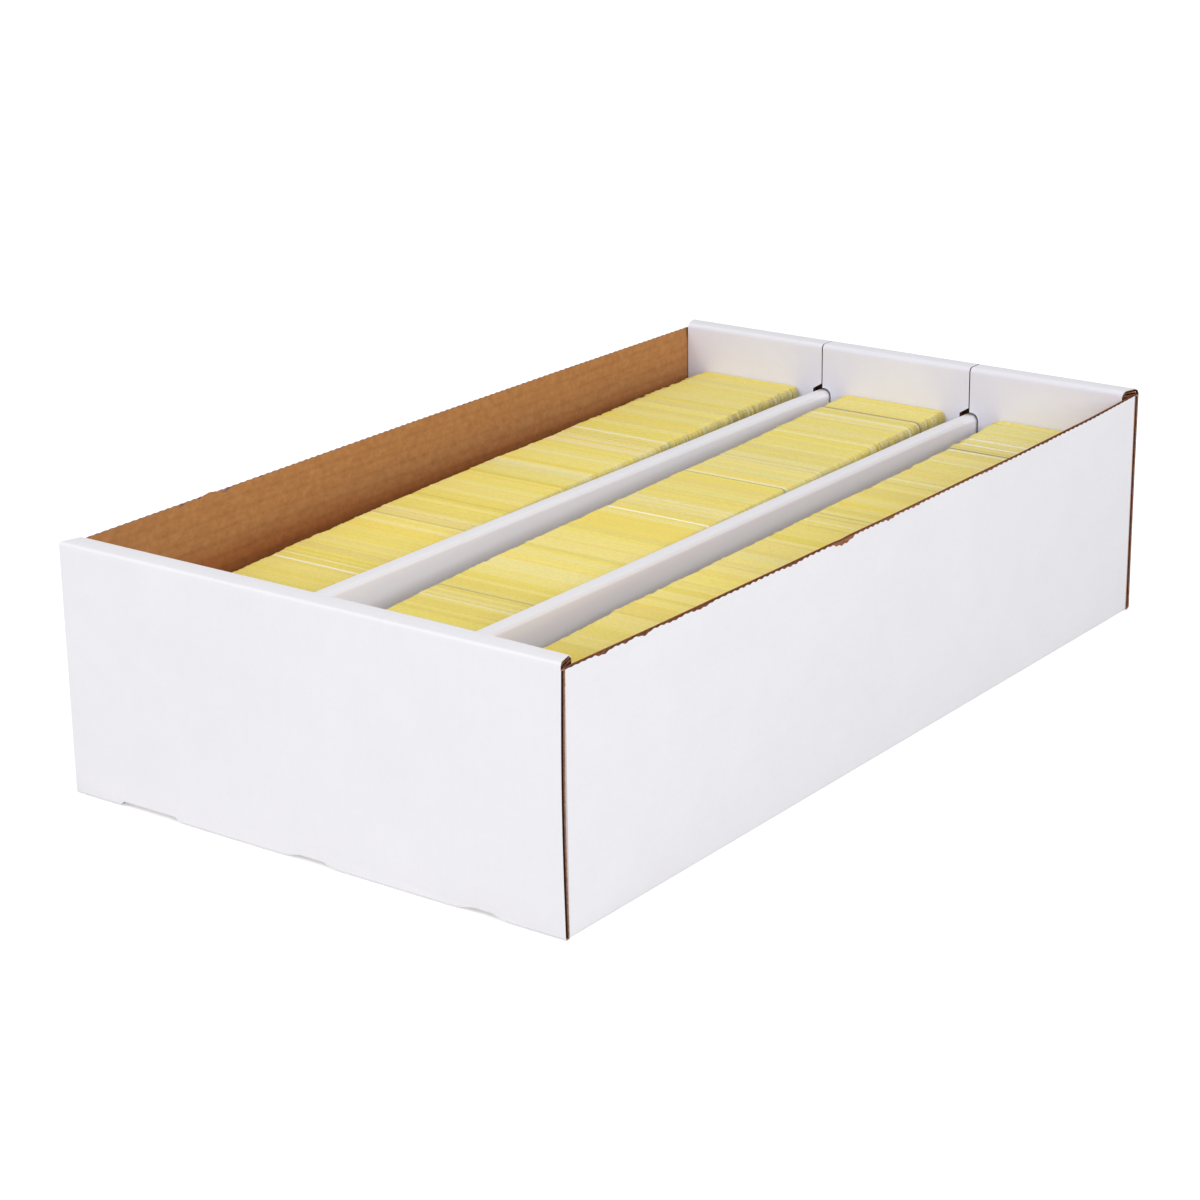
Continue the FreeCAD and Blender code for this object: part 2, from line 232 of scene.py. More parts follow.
# %% Two soft lamps
def hang_lamp(name, place, size, watts):
    """A square soft box that looks at the middle of the tray."""
    lamp = bpy.data.objects.new(name, bpy.data.lights.new(name, "AREA"))
    lamp.data.size = size
    lamp.data.energy = watts
    lamp.location = place
    lamp.rotation_mode = "QUATERNION"
    lamp.rotation_quaternion = (-Vector(place)).to_track_quat("-Z", "Y")
    scene.collection.objects.link(lamp)
    return lamp


lamps = [
    hang_lamp("key_lamp", place=(-0.7, -2.2, 1.9), size=1.8, watts=29),
    hang_lamp("side_lamp", place=(2.25, -0.9, 1.1), size=1.2, watts=25),
]
print([(lamp.name, lamp.data.energy) for lamp in lamps])

# %% [markdown]
# ## Paper finishes
# Board is paper glued on a wavy core. Its outside is a bleached white liner, its inside plain
# brown kraft. Both show slow clouds of tone, fine fibres and a faint washboard where the liner
# dips between the flutes below. A photograph of paper could be wrapped round, but noise at the
# real scale needs no file and never repeats. The flutes lie along the tray's length, so on the
# long walls their lines are spaced by height, and on the ends by width. Low on the walls, near the
# cards, the kraft is darkened as painted shade, and cut edges show a rough brown.

# %% Liner finishes
FLUTE_PITCH = 6.3 * MM
WAVE_TURN = math.pi / 10  # a wave texture of scale 1 repeats after this length
VALLEY = 0.34  # the part of a flute's wave that is shaded
FIBRE_TONE, BASE_TONE = 0.45, 0.28  # how much the fibres change the tone, and what it starts from
FIBRE_RELIEF = 0.35  # how much the fibres stand up, next to the flutes
FIBRE_GRAIN, FIBRE_STRETCH = 900, (1.0, 0.35, 0.6)
GLOSS = 0.2


def new_finish(name, roughness):
    """An empty principled material of that roughness, and its shader."""
    finish = bpy.data.materials.new(name)
    finish.use_nodes = True
    shader = finish.node_tree.nodes["Principled BSDF"]
    shader.inputs["Roughness"].default_value = roughness
    shader.inputs["Specular IOR Level"].default_value = GLOSS
    return finish, shader


def liner_finish(name, dark, light, grain, streak, contrast, ridge_axis, ridge_shade, roughness, dent):
    """Paper between two tones, with fibres and the washboard of the flutes along an axis.

    grain is how many clouds of tone lie in a metre, contrast how strongly they show. streak squeezes
    them along the tray's length: small values draw them out. dent is how deep the flutes print through.
    """
    finish, shader = new_finish(name, roughness)
    tree = finish.node_tree
    place = add_node(tree, "ShaderNodeTexCoord").outputs["Object"]
    stretch = add_node(tree, "ShaderNodeMapping", values={"Vector": place, "Scale": FIBRE_STRETCH})
    drawn = add_node(tree, "ShaderNodeMapping", values={"Vector": place, "Scale": (1.0, streak, 1.0)})
    waves = add_node(tree, "ShaderNodeTexWave", {"wave_type": "BANDS", "bands_direction": ridge_axis}, {
        "Vector": place, "Scale": WAVE_TURN / FLUTE_PITCH, "Distortion": 1.4,
        "Detail": 2, "Detail Scale": 0.5})
    flutes = waves.outputs["Fac"]
    clouds = add_noise(tree, drawn.outputs[0], grain, 5, 0.62)
    fibres = add_noise(tree, stretch.outputs[0], FIBRE_GRAIN, 4, 0.7)
    tone = multiply_add(tree, fibres, FIBRE_TONE, BASE_TONE - contrast / 2)
    blend = multiply_add(tree, clouds, contrast, tone, clamp=True)
    paper = mix_colours(tree, blend, dark, light)
    dim = (ridge_shade, ridge_shade, ridge_shade, 1)
    valley = ramp_colour(tree, flutes, (0.0, dim), (VALLEY, WHITE))
    feed(tree, shader.inputs["Base Color"], mix_colours(tree, 1.0, paper, valley, "MULTIPLY"))
    emboss(tree, shader, multiply_add(tree, fibres, FIBRE_RELIEF, flutes), 0.5, dent)
    return finish


WHITE_TONES = screen_colour(234, 232, 236), screen_colour(246, 244, 247)
# painted shade: the flaps' inner faces, deep in the tray, get a darker and bluer copy of the white liner
COOL_SHADE_TONES = screen_colour(228, 227, 243), screen_colour(240, 239, 252)
# painted light: the dividers' sides get a brighter, lavender copy of the white liner, standing in for light on
# them
PLEAT_LIT_TONES = screen_colour(250, 246, 255), screen_colour(255, 251, 255)
KRAFT_TONES = screen_colour(150, 95, 55), screen_colour(214, 155, 98)
BLEACHED = 38, 1.0, 0.6  # grain, streak and contrast of the white paper
BROWN = 260, 0.8, 0.7  # and of the kraft
SMOOTH = 0.997, 0.62, 0.015 * MM  # ridge shade, roughness and dent of the white paper
COARSE = 0.92, 0.85, 0.05 * MM  # and of the kraft
white_by_height = liner_finish("white_liner_walls", *WHITE_TONES, *BLEACHED, "Z", *SMOOTH)
white_by_width = liner_finish("white_liner_ends", *WHITE_TONES, *BLEACHED, "X", *SMOOTH)
white_flaps_shaded = liner_finish("white_liner_flaps_shaded", *COOL_SHADE_TONES, *BLEACHED, "X", *SMOOTH)
white_pleats_lit = liner_finish("white_liner_pleats_lit", *PLEAT_LIT_TONES, *BLEACHED, "Z", *SMOOTH)
kraft_by_height = liner_finish("kraft_liner_walls", *KRAFT_TONES, *BROWN, "Z", *COARSE)
kraft_by_width = liner_finish("kraft_liner_ends", *KRAFT_TONES, *BROWN, "X", *COARSE)
print("liner finishes", [finish.name for finish in (white_by_height, white_by_width, kraft_by_height)])

# %% Paint shade low on the kraft of the walls
SHADED_BELOW, UNSHADED_ABOVE = 85 * MM, 97 * MM
# painted shade: below the card tops the kraft is multiplied darker and redder
LOW_SHADE_TINT = (0.88, 0.65, 0.5, 1.0)


def paint_low_shade(finish):
    """Darkens a finish towards the bottom, near the cards: painted shade."""
    tree = finish.node_tree
    paint = tree.nodes["Principled BSDF"].inputs["Base Color"]
    place = add_node(tree, "ShaderNodeTexCoord").outputs["Object"]
    height = add_node(tree, "ShaderNodeSeparateXYZ", values={0: place}).outputs["Z"]
    share = add_node(tree, "ShaderNodeMapRange", values={
        "Value": height, "From Min": SHADED_BELOW, "From Max": UNSHADED_ABOVE, "To Min": 1.0, "To Max": 0.0})
    unshaded = paint.links[0].from_socket
    feed(tree, paint, mix_colours(tree, share.outputs[0], unshaded, LOW_SHADE_TINT, "MULTIPLY"))


paint_low_shade(kraft_by_height)
print("the walls' kraft is darker below", round(UNSHADED_ABOVE / MM), "mm")

# %% Raw edge finishes
CUT_GRAIN, CUT_RELIEF = 700, 0.15 * MM


def raw_edge_finish(name, dark, light):
    """Torn and cut brown paper, with pale fibres that stand up."""
    finish, shader = new_finish(name, 0.95)
    tree = finish.node_tree
    place = add_node(tree, "ShaderNodeTexCoord").outputs["Object"]
    fibres = add_noise(tree, place, CUT_GRAIN, 6, 0.75)
    feed(tree, shader.inputs["Base Color"], ramp_colour(tree, fibres, (0.3, dark), (0.72, light)))
    emboss(tree, shader, fibres, 0.8, CUT_RELIEF)
    return finish


raw_edge = raw_edge_finish("raw_board_edge", screen_colour(112, 66, 44), screen_colour(178, 120, 90))
raw_core = raw_edge_finish("raw_board_core", screen_colour(142, 98, 76), screen_colour(218, 170, 146))
# painted shade: a dark brown for faces deep in a cut edge's gap, in the far slits and on the flaps' cut legs,
# where shade falls
raw_gap_shade = raw_edge_finish("raw_board_gap_shade", screen_colour(48, 28, 22), screen_colour(92, 58, 44))
print("raw edge finishes", raw_edge.name, raw_core.name, raw_gap_shade.name)

# %% [markdown]
# ## Working on one piece at a time
# Edit-mode operators act on whatever is selected, so each step first says what it means: the
# edges that run along an axis, the faces that look up, the corners on a plane. The helpers below
# start a block from its two corners, pick parts of it by a test, and give a finished board its
# CAD body. Sizes come from the CAD node's box.

# %% Helpers for modelling
HAIR = 0.02 * MM  # anything nearer than this to a plane lies on it
STRAIGHT = 0.999  # an edge runs along an axis if this share of its length does
SOFT_BEND = math.radians(35)  # sharper bends stay edges
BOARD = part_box("near_end_panel")[1].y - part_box("near_end_panel")[0].y
OUTSIDE, INSIDE, CUT, GAP_SHADE, FLAP_FACE = range(5)  # the order of a board's finishes


def clear_selection():
    if bpy.context.object and bpy.context.object.mode != "OBJECT":
        bpy.ops.object.mode_set(mode="OBJECT")
    bpy.ops.object.select_all(action="DESELECT")


def take(piece):
    """Makes the piece the only one picked."""
    clear_selection()
    piece.select_set(True)
    bpy.context.view_layer.objects.active = piece


def start_block(name, low, high):
    """A block between two corners, left in edit mode as the start of a piece."""
    clear_selection()
    low, high = Vector(low), Vector(high)
    bpy.ops.mesh.primitive_cube_add(size=1, location=(low + high) / 2, scale=high - low)
    bpy.ops.object.transform_apply(location=True, rotation=True, scale=True)
    bpy.context.object.name = name
    bpy.ops.object.mode_set(mode="EDIT")
    return bpy.context.object


def on_plane(part, axis, value):
    return all(abs(corner.co[axis] - value) < HAIR for corner in part.verts)


def where_meet(axis, value, other_axis, other):
    """A test for the edges where two planes meet."""
    return lambda edge: on_plane(edge, axis, value) and on_plane(edge, other_axis, other)


def runs_along(edge, axis):
    span = edge.verts[1].co - edge.verts[0].co
    return abs(span[axis]) > STRAIGHT * span.length


def pick(kind, test):
    """Selects the edges or faces of the piece in edit mode that pass the test."""
    bpy.ops.mesh.select_mode(type=kind)
    bpy.ops.mesh.select_all(action="DESELECT")
    shape = bmesh.from_edit_mesh(bpy.context.object.data)
    for part in shape.edges if kind == "EDGE" else shape.faces:
        part.select_set(test(part))
    shape.select_flush_mode()
    bmesh.update_edit_mesh(bpy.context.object.data)


def round_edges(test, radius, steps):
    """Rounds the edges of the piece in edit mode that pass the test."""
    pick("EDGE", test)
    bpy.ops.mesh.bevel(offset=radius, segments=steps, affect="EDGES")


def slice_across(axis, value):
    """Gives the piece in edit mode a line of corners all round, at a value of that axis."""
    bpy.ops.mesh.select_all(action="SELECT")
    place, normal = Vector(), Vector()
    place[axis], normal[axis] = value, 1
    bpy.ops.mesh.bisect(plane_co=place, plane_no=normal)


def corners_of(piece):
    """The piece's corners as an array, for moves worked out in code."""
    places = np.empty(len(piece.data.vertices) * 3)
    piece.data.vertices.foreach_get("co", places)
    return places.reshape(-1, 3)


def put_corners(piece, places):
    piece.data.vertices.foreach_set("co", places.ravel())
    piece.data.update()


def apply_modifier(piece, kind, **settings):
    """Adds a modifier to the piece and applies it at once."""
    take(piece)
    modifier = piece.modifiers.new(kind.lower(), kind)
    for name, value in settings.items():
        setattr(modifier, name, value)
    bpy.ops.object.modifier_apply(modifier=modifier.name)


def stand_for(piece, node):
    """The piece takes the node's place and rides on its body."""
    clear_selection()
    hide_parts(node)
    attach(piece, body_of[node])
    print(piece.name, len(piece.data.polygons), "faces on", body_of[node])


def dress(piece, finishes, choose):
    """Gives each face the finish that choose(middle, normal) numbers, and rounds the soft bends."""
    piece.data.materials.clear()
    for finish in finishes:
        piece.data.materials.append(finish)
    for face in piece.data.polygons:
        number = choose(face.center, face.normal)
        if number is not None:
            face.material_index = number
    take(piece)
    bpy.ops.object.shade_smooth_by_angle(angle=SOFT_BEND)


print("board", round(BOARD / MM, 2), "mm")

# %% [markdown]
# ## A raw edge shows the board's layers
# Where the board is cut along its flutes, the edge is two thin liners with a gap between them, and
# one wall of the wavy core standing in the gap. A flat brown strip would do from far away, but the
# gap catches a real shadow. The edge is inset to leave the liners, pushed in, inset again and
# pulled back up as the core.

# %% Open a cut edge
LINER = 0.42 * MM
GAP_DEPTH = 3.0 * MM
CORE_RISE = 2.5 * MM
CORE_SIDE = 0.9 * MM


def open_raw_edge(axis, end, side, core_rise=CORE_RISE):
    """Turns a board's end at a value of an axis into liners, a gap and the core in it.

    side is -1 or 1 for the way that the end looks along the axis.
    """
    outward = Vector()
    outward[axis] = side
    pick("FACE", lambda face: on_plane(face, axis, end))
    bpy.ops.mesh.inset(thickness=LINER, use_even_offset=False)
    bpy.ops.mesh.extrude_region_move(TRANSFORM_OT_translate={"value": -outward * GAP_DEPTH})
    bpy.ops.mesh.inset(thickness=CORE_SIDE, use_even_offset=False)
    bpy.ops.mesh.extrude_region_move(TRANSFORM_OT_translate={"value": outward * core_rise})


print("a raw edge has liners of", LINER / MM, "mm and a gap", GAP_DEPTH / MM, "mm deep")

# %% [markdown]
# ## The long walls
# Each long wall is a single board, so its top is a raw edge. The die that cut it has a wavy blade
# that leaves small scallops, and handling has dented and torn the edge in places. The wall starts
# as a block cut into narrow columns, its creases are rounded, its top is opened, and then the
# corners along the top are lowered in code: scallops and dents are a wave and a few bumps.

# %% Scallops, dents and tears along a rim
SCALLOP_PITCH = 4.6 * MM
SLOW_DRIFT, QUICK_DRIFT = (0.8, 31 * MM), (0.5, 12.7 * MM)  # how unevenly the scallops follow
RIPPLE_LENGTH = 17 * MM


def profile(along, points):
    """Straight lines through points, each given as (place, value) in mm."""
    places, values = zip(*points)
    return np.interp(along / MM, places, values) * MM


def bumps(along, marks):
    """The sum of smooth bumps, each given as (place, half width, height) in mm."""
    total = np.zeros_like(along)
    for place, half_width, height in marks:
        reach = np.clip(np.abs(along - place * MM) / (half_width * MM), 0, 1)
        total += height * MM * (1 - reach**2) ** 1.5
    return total


def scallops(along, depths):
    """The wavy cut: a wave whose depth in mm is given at some places along the edge."""
    drift = sum(size * np.sin(along / length + start)
                for start, (size, length) in enumerate((SLOW_DRIFT, QUICK_DRIFT)))
    return profile(along, depths) * (0.5 + 0.5 * np.cos(2 * math.pi * along / SCALLOP_PITCH + drift))


def rim_drop(along, level, drop=0.0, ripple=0.0, depths=((0, 0),), marks=()):
    """How far a rim lies below the wall's full height, from its level and its wear, given in mm."""
    waves = ripple * MM * (1 + np.sin(along / RIPPLE_LENGTH))
    return profile(along, level) + drop * MM + waves + scallops(along, depths) + bumps(along, marks)


print("a scallop every", SCALLOP_PITCH / MM, "mm")

# %% Model a long wall
CREASE_RADIUS = 1.2 * MM
CREASE_STEPS = 4
FAR_CORNER = 1.2 * MM
WALL_CUTS = 29, 26  # one after the other
PINCH_DEPTH = 8.0 * MM
PINCH = 0.34  # the share of its thickness that the board loses at the top


def model_wall(node, side, level, rims, raw):
    """A long wall. side is -1 or 1 for left or right, level how far its whole top hangs in mm.

    rims is the wear of the outer liner, the core and the inner liner, raw the cut edge's finish.
    """
    low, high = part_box(node)
    outside = high.x if side > 0 else low.x
    piece = start_block(node + "_board", low, high)
    for cuts in WALL_CUTS:
        pick("EDGE", lambda edge: runs_along(edge, Y))
        bpy.ops.mesh.subdivide(number_cuts=cuts)
    for axis, value, radius in ((Z, low.z, CREASE_RADIUS), (Y, high.y, FAR_CORNER)):
        round_edges(where_meet(X, outside, axis, value), radius, CREASE_STEPS)
    open_raw_edge(Z, high.z, 1)
    slice_across(Z, high.z - PINCH_DEPTH)
    bpy.ops.mesh.select_all(action="SELECT")
    bpy.ops.mesh.dissolve_degenerate(threshold=HAIR / 2)
    bpy.ops.object.mode_set(mode="OBJECT")

    places = np.clip(corners_of(piece), low, high)
    along = places[:, Y].copy()
    depth_in = np.abs(places[:, X] - outside)
    at_top = places[:, Z] > high.z - HAIR
    core = np.abs(places[:, Z] - (high.z - GAP_DEPTH + CORE_RISE)) < HAIR
    outer_rim = at_top & (depth_in < BOARD / 2)
    inner_rim = at_top & (depth_in > BOARD / 2)
    pinched = PINCH * np.clip((places[:, Z] - high.z + PINCH_DEPTH) / PINCH_DEPTH, 0, 1)
    places[:, X] += side * depth_in * pinched
    for rim, wear in zip((outer_rim, core, inner_rim), rims):
        places[rim, Z] -= rim_drop(along[rim], level, **wear)
    put_corners(piece, places)

    def choose(place, normal):
        depth = abs(place.x - outside)
        if place.y > high.y - FAR_CORNER:
            return CUT
        if normal.x * side > 0.2 and (depth < HAIR or place.z < low.z + CREASE_RADIUS):
            return OUTSIDE
        if normal.x * side < -0.8 and depth > 0.55 * BOARD:
            return INSIDE
        if normal.z > 0.5 and depth < LINER:
            return OUTSIDE
        return CUT if place.z > high.z - 2 * GAP_DEPTH else OUTSIDE

    dress(piece, (white_by_height, kraft_by_height, raw), choose)
    stand_for(piece, node)


RIGHT_LEVEL = (-250, 0.6), (-150, 1.7), (0, 2.5), (120, 2.3), (200, 1.6), (248, 0.2)
RIGHT_RIMS = (
    {"drop": 0.15,
     "depths": ((-250, 0.2), (-215, 0.5), (-130, 0.4), (-122, 0.6), (-50, 0.65), (60, 0.6),
                (190, 0.5), (250, 0.1)),
     "marks": ((-39, 11, 2.0), (-222, 6, 1.0), (-206, 4, 0.6), (-193, 5, 1.1), (-172, 9, 0.5),
               (-152, 10, 0.8), (-81, 11, 0.6), (1, 5, 0.7), (24, 7, 0.3), (93, 10, 0.3), (151, 6, 0.3))},
    {"drop": 0.2, "marks": ((-39, 9, 0.8), (-193, 3, 0.5))},
    {"drop": 0.05, "ripple": 0.06, "marks": ((-39, 6, 0.3),)},
)
LEFT_LEVEL = (-250, -1.0), (0, -1.3), (120, -0.9), (250, 0.0)
LEFT_RIMS = (
    {"drop": 0.35, "depths": ((-250, 0.2), (0, 0.4), (250, 0.2))},
    {"drop": 0.55, "marks": ((-145, 6, 0.8), (-174, 3, 0.6))},
    {"depths": ((-250, 0.15), (-100, 0.15), (50, 0.1), (250, 0.05)),
     "marks": ((-174, 3.5, 1.3), (-162, 2, 0.7), (-144, 5, 1.8), (-119, 4, 0.5), (-155, 6, -0.9),
               (-62, 5, 0.3), (40, 6, 0.3))},
)
model_wall("right_wall", 1, RIGHT_LEVEL, RIGHT_RIMS, raw_edge)
model_wall("left_wall", -1, LEFT_LEVEL, LEFT_RIMS, raw_core)

# %% [markdown]
# ## The end panels
# The ends are double. The outer panel is a plain board with a rounded crease at the floor, a raw
# edge on each side, and three shallow mouths in its bottom edge where the locking tabs come
# through. The mouths are cut with a Boolean, because blocks placed where the tabs are say
# exactly what is taken away.

# %% Cut blocks out of a piece
OVERRUN = 1.0 * MM


def cut_with(piece, cutter):
    """Takes the cutter's shape out of the piece and throws the cutter away."""
    apply_modifier(piece, "BOOLEAN", operation="DIFFERENCE", solver="EXACT", object=cutter)
    bpy.data.objects.remove(cutter)


print("cutters run", OVERRUN / MM, "mm past the board")

# %% Model an end panel
WALL_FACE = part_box("right_wall")[0].x
TAB_OUT = (WALL_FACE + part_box("right_divider")[1].x) / 2
TAB_PLACES = (-TAB_OUT, 0.0, TAB_OUT)
MOUTH_WIDTH = 39.4 * MM
MOUTH_HEIGHT = 2.6 * MM
MOUTH_SLOPES = (4.0, 3.0), (16.0, 10.0), (18.0, 12.0)  # how far the ends lean in, left and right, in mm
MOUTH_ROUND, ROUND_STEPS = 0.8 * MM, 3
TORN_CORE = 1.0 * MM  # what is left of the core's rise in the upright edges
PALE_RIM = 0.7 * MM  # how deep the light reaches into those edges
BEND_SHARES = np.linspace(0.1, 0.9, 9)  # heights at which the panel can bend


def model_end_panel(node, out, bow):
    """An outer end panel. out is -1 or 1 for the end that faces -Y or +Y.

    bow is how far the right edge is pushed in at half its height.
    """
    low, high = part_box(node)
    outside = high.y if out > 0 else low.y
    piece = start_block(node + "_board", low, high)
    round_edges(where_meet(Y, outside, Z, low.z), CREASE_RADIUS, CREASE_STEPS)
    for side, end in ((-1, low.x), (1, high.x)):
        open_raw_edge(X, end, side, TORN_CORE)
        slice_across(X, end - side * PALE_RIM)
    for share in BEND_SHARES:
        slice_across(Z, high.z * share)
    bpy.ops.object.mode_set(mode="OBJECT")
    places = corners_of(piece)
    at_right = places[:, X] > high.x - 2 * GAP_DEPTH
    places[at_right, X] -= bow * np.sin(math.pi * places[at_right, Z] / high.z)
    put_corners(piece, places)

    for place, slopes in zip(TAB_PLACES, MOUTH_SLOPES):
        left, right = place - MOUTH_WIDTH / 2, place + MOUTH_WIDTH / 2
        cutter = start_block("cutter", (left, low.y - OVERRUN, low.z - OVERRUN),
                             (right, high.y + OVERRUN, MOUTH_HEIGHT))
        for end, inward, slope in ((left, 1, slopes[0]), (right, -1, slopes[1])):
            pick("EDGE", where_meet(X, end, Z, MOUTH_HEIGHT))
            bpy.ops.transform.translate(value=(inward * slope * MM, 0, 0))
        round_edges(lambda edge: on_plane(edge, Z, MOUTH_HEIGHT) and runs_along(edge, Y),
                    MOUTH_ROUND, ROUND_STEPS)
        cut_with(piece, cutter)

    white_skin = LINER if out < 0 else HAIR  # the far edges have lost the white of their outer liner

    def choose(place, normal):
        from_side, depth = high.x - abs(place.x), abs(place.y - outside)
        if from_side > 2 * GAP_DEPTH and place.z < MOUTH_HEIGHT + HAIR:
            return OUTSIDE
        # the pale rim is the part of the gap that light reaches; deeper in, the faces take the dark brown of
        # painted shade
        if from_side < GAP_DEPTH + bow + HAIR and white_skin < depth < BOARD - HAIR:
            rim = bow * math.sin(math.pi * place.z / high.z) + PALE_RIM
            return CUT if from_side < rim and (out < 0 or depth < BOARD - LINER) else GAP_SHADE
        if normal.y * out > 0.2 or depth < LINER:
            return OUTSIDE
        return INSIDE if normal.y * out < -0.9 else CUT

    dress(piece, (white_by_width, kraft_by_width, raw_core, raw_gap_shade), choose)
    stand_for(piece, node)


ENDS = {"near": -1, "far": 1}  # and the way each one faces along Y
END_BOWS = {"near": 0.9 * MM, "far": 0.2 * MM}
for end, out in ENDS.items():
    model_end_panel(f"{end}_end_panel", out, END_BOWS[end])

# %% [markdown]
# ## The rolled flaps
# Above the end panel the board rolls over in a band and comes down inside as three flaps. A flap
# is one sheet with two folds, so it is made like one: a block loses its ends and its bottom,
# Solidify gives the sheet the board's thickness inwards, and the outer edges of the folds are
# rounded. What the flap leaves free, for the walls, the dividers and the tab's shoulders, is then
# cut away. Beside a divider the die cuts one corner slanting and the other round. Over the walls
# the band ends in a raw edge that slopes inwards.

# %% Fold a board
BEND_STEPS = 5
WAVES = 24


def fold_board(name, low, high, fold_along):
    """An open sheet up one side, over the top and down the other, left in edit mode."""
    piece = start_block(name, low, high)
    pick("FACE", lambda face: face.normal.z < -0.9 or abs(face.normal[fold_along]) > 0.9)
    bpy.ops.mesh.delete(type="FACE")
    pick("EDGE", lambda edge: runs_along(edge, fold_along))
    bpy.ops.mesh.subdivide(number_cuts=WAVES)
    return piece


def thicken(piece, finishes):
    """Gives a sheet the board's thickness inwards; the finishes are its outside, inside and cuts."""
    bpy.ops.object.mode_set(mode="OBJECT")
    for finish in finishes:
        piece.data.materials.append(finish)
    apply_modifier(piece, "SOLIDIFY", thickness=BOARD, offset=-1, use_even_offset=True,
                   material_offset=1, material_offset_rim=2)


def round_folds(low, high, fold_along, radius):
    """Rounds the outer edges of a folded board's two folds."""
    across = X if fold_along == Y else Y
    bpy.ops.object.mode_set(mode="EDIT")
    first, second = (where_meet(Z, high.z, across, side[across]) for side in (low, high))
    round_edges(lambda edge: first(edge) or second(edge), radius, BEND_STEPS)
    bpy.ops.object.mode_set(mode="OBJECT")


def keep_finishes(piece, choose):
    """Smooths the piece and keeps the finishes that Solidify gave, except where choose says other."""
    finishes = list(piece.data.materials)
    kept = [face.material_index for face in piece.data.polygons]
    dress(piece, finishes, choose)
    for face, number in zip(piece.data.polygons, kept):
        if choose(face.center, face.normal) is None:
            face.material_index = number


print("a fold has", BEND_STEPS, "steps")

# %% Model a flap
LEG_ROOM = 0.5 * MM
TAB_WIDTH = 38.0 * MM
divider_low, divider_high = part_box("right_divider")
SLIT = (divider_low.x + divider_high.x) / 2
SLIT_PLACES = (-SLIT, SLIT)
SLIT_REACH = 2 * MM  # a side of a flap nearer than this to a slit lies along it
NOTCH_ROOM = 1.0 * MM
NOTCH_HALF = divider_high.x - SLIT + NOTCH_ROOM
NOTCH_TOP = divider_high.z + NOTCH_ROOM
NOTCH_ROUND, NOTCH_STEPS = 4.0 * MM, 6
NOTCH_RISE, NOTCH_SLANT = 3.2 * MM, 4.2 * MM  # of the slanting corner
STUB_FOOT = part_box("near_end_panel")[1].z
BAND_FOOT = cad_high.z - BOARD
SQUEEZE_REACH = 90 * MM
IN_GAP = 0.8  # the share of a liner below which a place lies in the gap


def cut_notch(piece, slit, side, leg):
    """Frees a flap that lies left (-1) or right (1) of a divider's slit from that divider."""
    edge_x = slit + side * NOTCH_HALF
    top = NOTCH_TOP if side > 0 else NOTCH_TOP + NOTCH_RISE
    x_low, x_high = sorted((edge_x, slit - side * OVERRUN))
    cutter = start_block("cutter", (x_low, leg[0], -OVERRUN), (x_high, leg[1], top))
    corner = where_meet(X, edge_x, Z, top)
    if side > 0:
        round_edges(corner, NOTCH_ROUND, NOTCH_STEPS)
    else:
        pick("EDGE", corner)
        bpy.ops.transform.translate(value=(0, 0, -NOTCH_SLANT))
    cut_with(piece, cutter)


def pressing(x, z, high):
    """How high a place lies in the band, and how much of the squeeze at its right end is felt there."""
    band = np.clip((z - STUB_FOOT) / (high.z - STUB_FOOT), 0, 1)
    return band, band * np.clip(1 - (high.x - x) / SQUEEZE_REACH, 0, 1) ** 2


